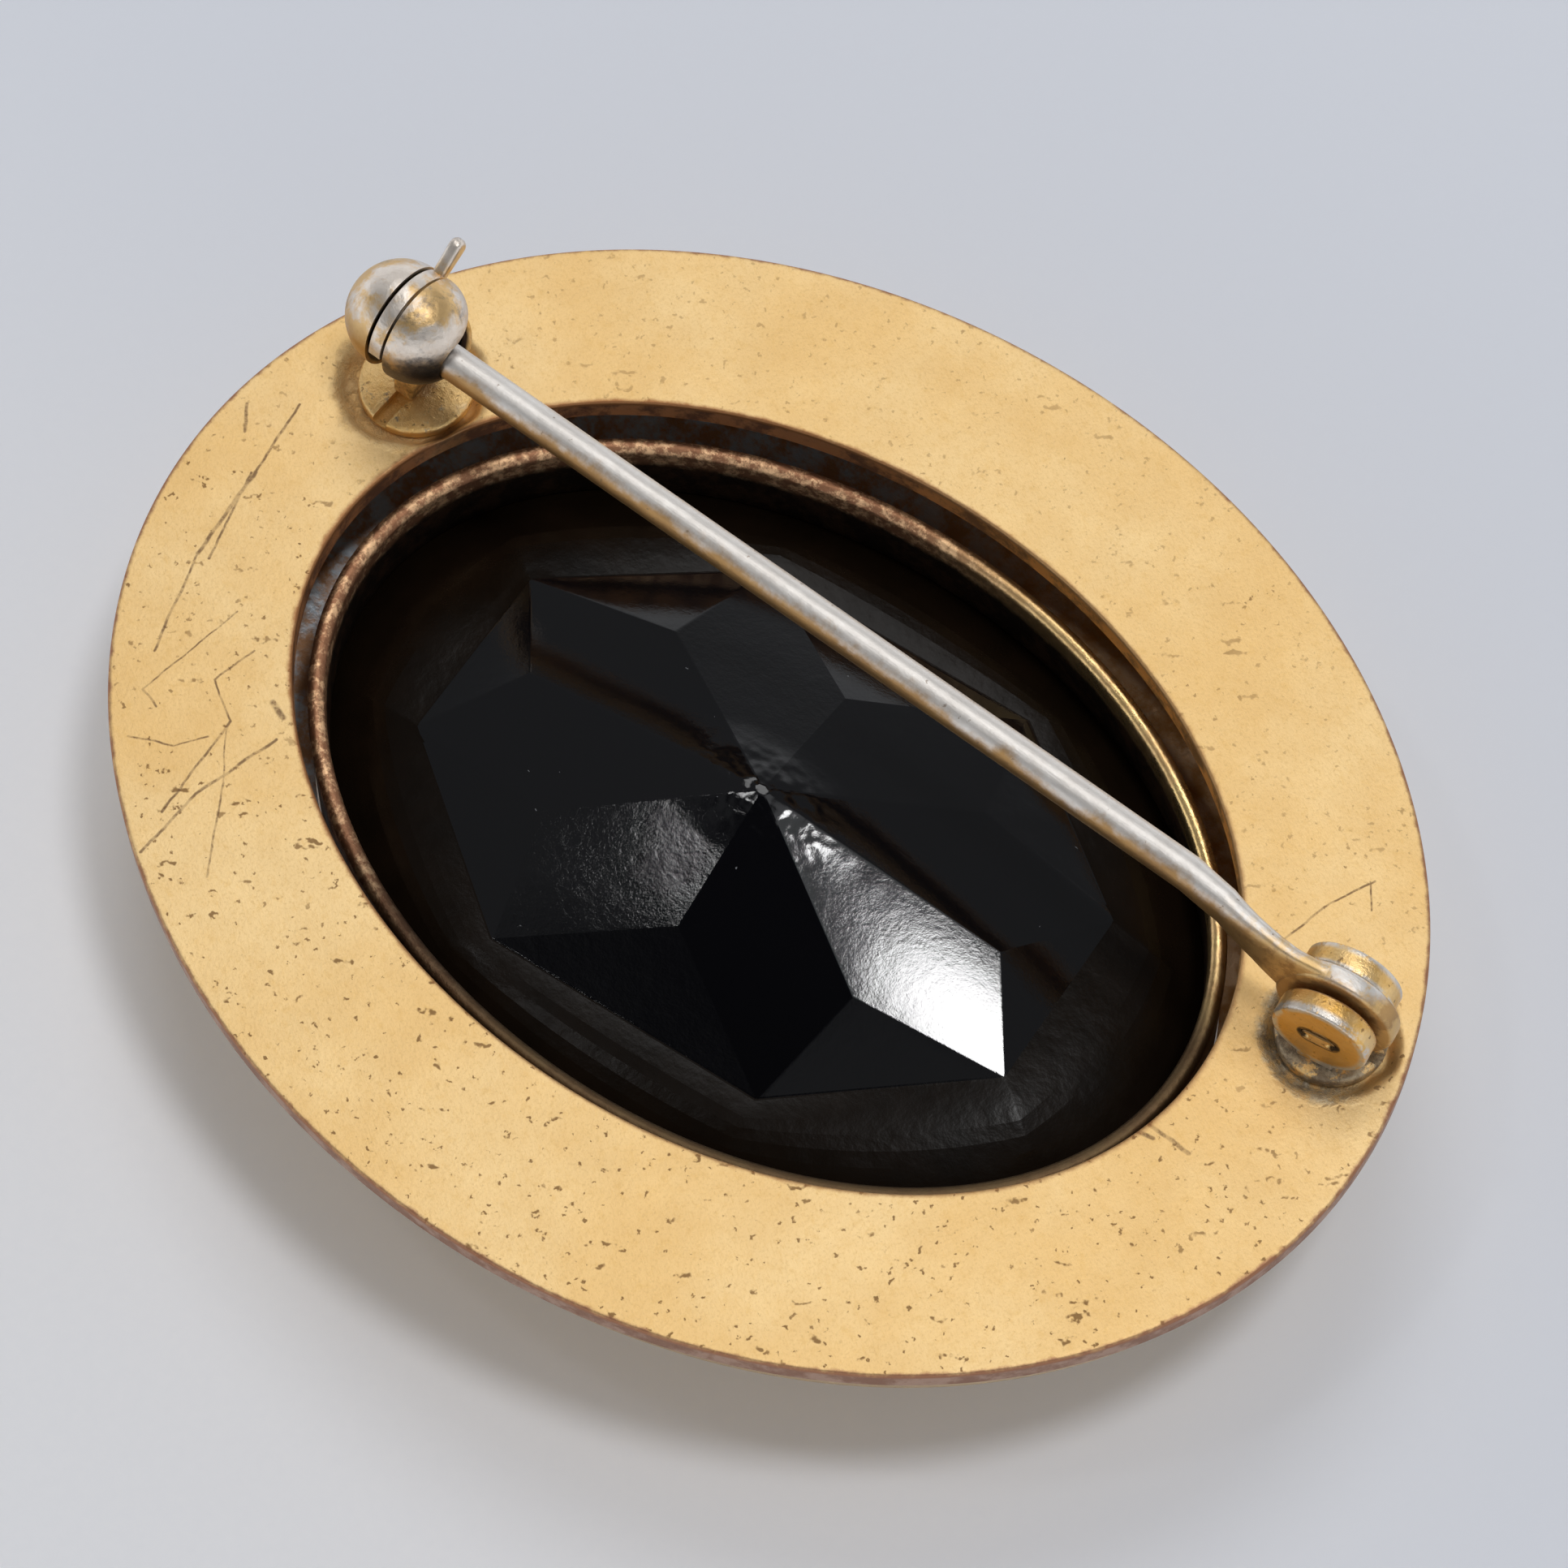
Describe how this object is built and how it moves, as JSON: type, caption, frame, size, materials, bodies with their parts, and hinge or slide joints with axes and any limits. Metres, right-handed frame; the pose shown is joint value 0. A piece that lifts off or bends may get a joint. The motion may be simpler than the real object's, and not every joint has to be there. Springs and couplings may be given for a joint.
{
  "type": "brooch",
  "caption": "Oval gold-plated brooch seen from its back: dished frame round a faceted black glass stone, hinged pin with round eye, and ball catch with locking rotor.",
  "frame": {"origin": "middle of the stone's flat front facet, which the brooch rests on when its pin is uppermost", "axes": "+X from the catch to the hinge, along the long way of the oval; +Z out of the back, on the pin's side"},
  "size_m": [0.043, 0.0346, 0.0132],
  "materials": {
    "satin_gold": "satin, brushed and scratched gold plating",
    "polished_gold": "polished gold plating",
    "worn_gold": "gold plating worn to grey metal",
    "worn_nickel": "bright wire with traces of gold",
    "black_glass": "polished opaque black glass"
  },
  "bodies": {
    "setting": {"back_plate": "satin_gold", "front_shell": "polished_gold", "bezel_collar": "polished_gold", "stone": "black_glass", "hinge_base": "satin_gold", "hinge_front_ear": "satin_gold", "hinge_rear_ear": "satin_gold", "hinge_rivet": "worn_gold", "catch_base": "satin_gold", "catch_leg": "satin_gold", "catch_end_dome": "worn_gold", "catch_pin_cup": "worn_gold"},
    "pin": {"pin_stem": "worn_nickel"},
    "rotor": {"catch_rotor": "worn_gold"}
  },
  "joints": [
    {"name": "pin_swing", "type": "hinge", "parent": "setting", "child": "pin", "pos_m": [0.01827, 0.00411, 0.00955], "axis": [-0.1564, 0.9877, 0], "range_deg": [0, 100]},
    {"name": "catch_lock", "type": "hinge", "parent": "setting", "child": "rotor", "pos_m": [-0.01725, 0.0043, 0.01139], "axis": [1, 0, 0], "range_deg": [0, 75]}
  ]
}
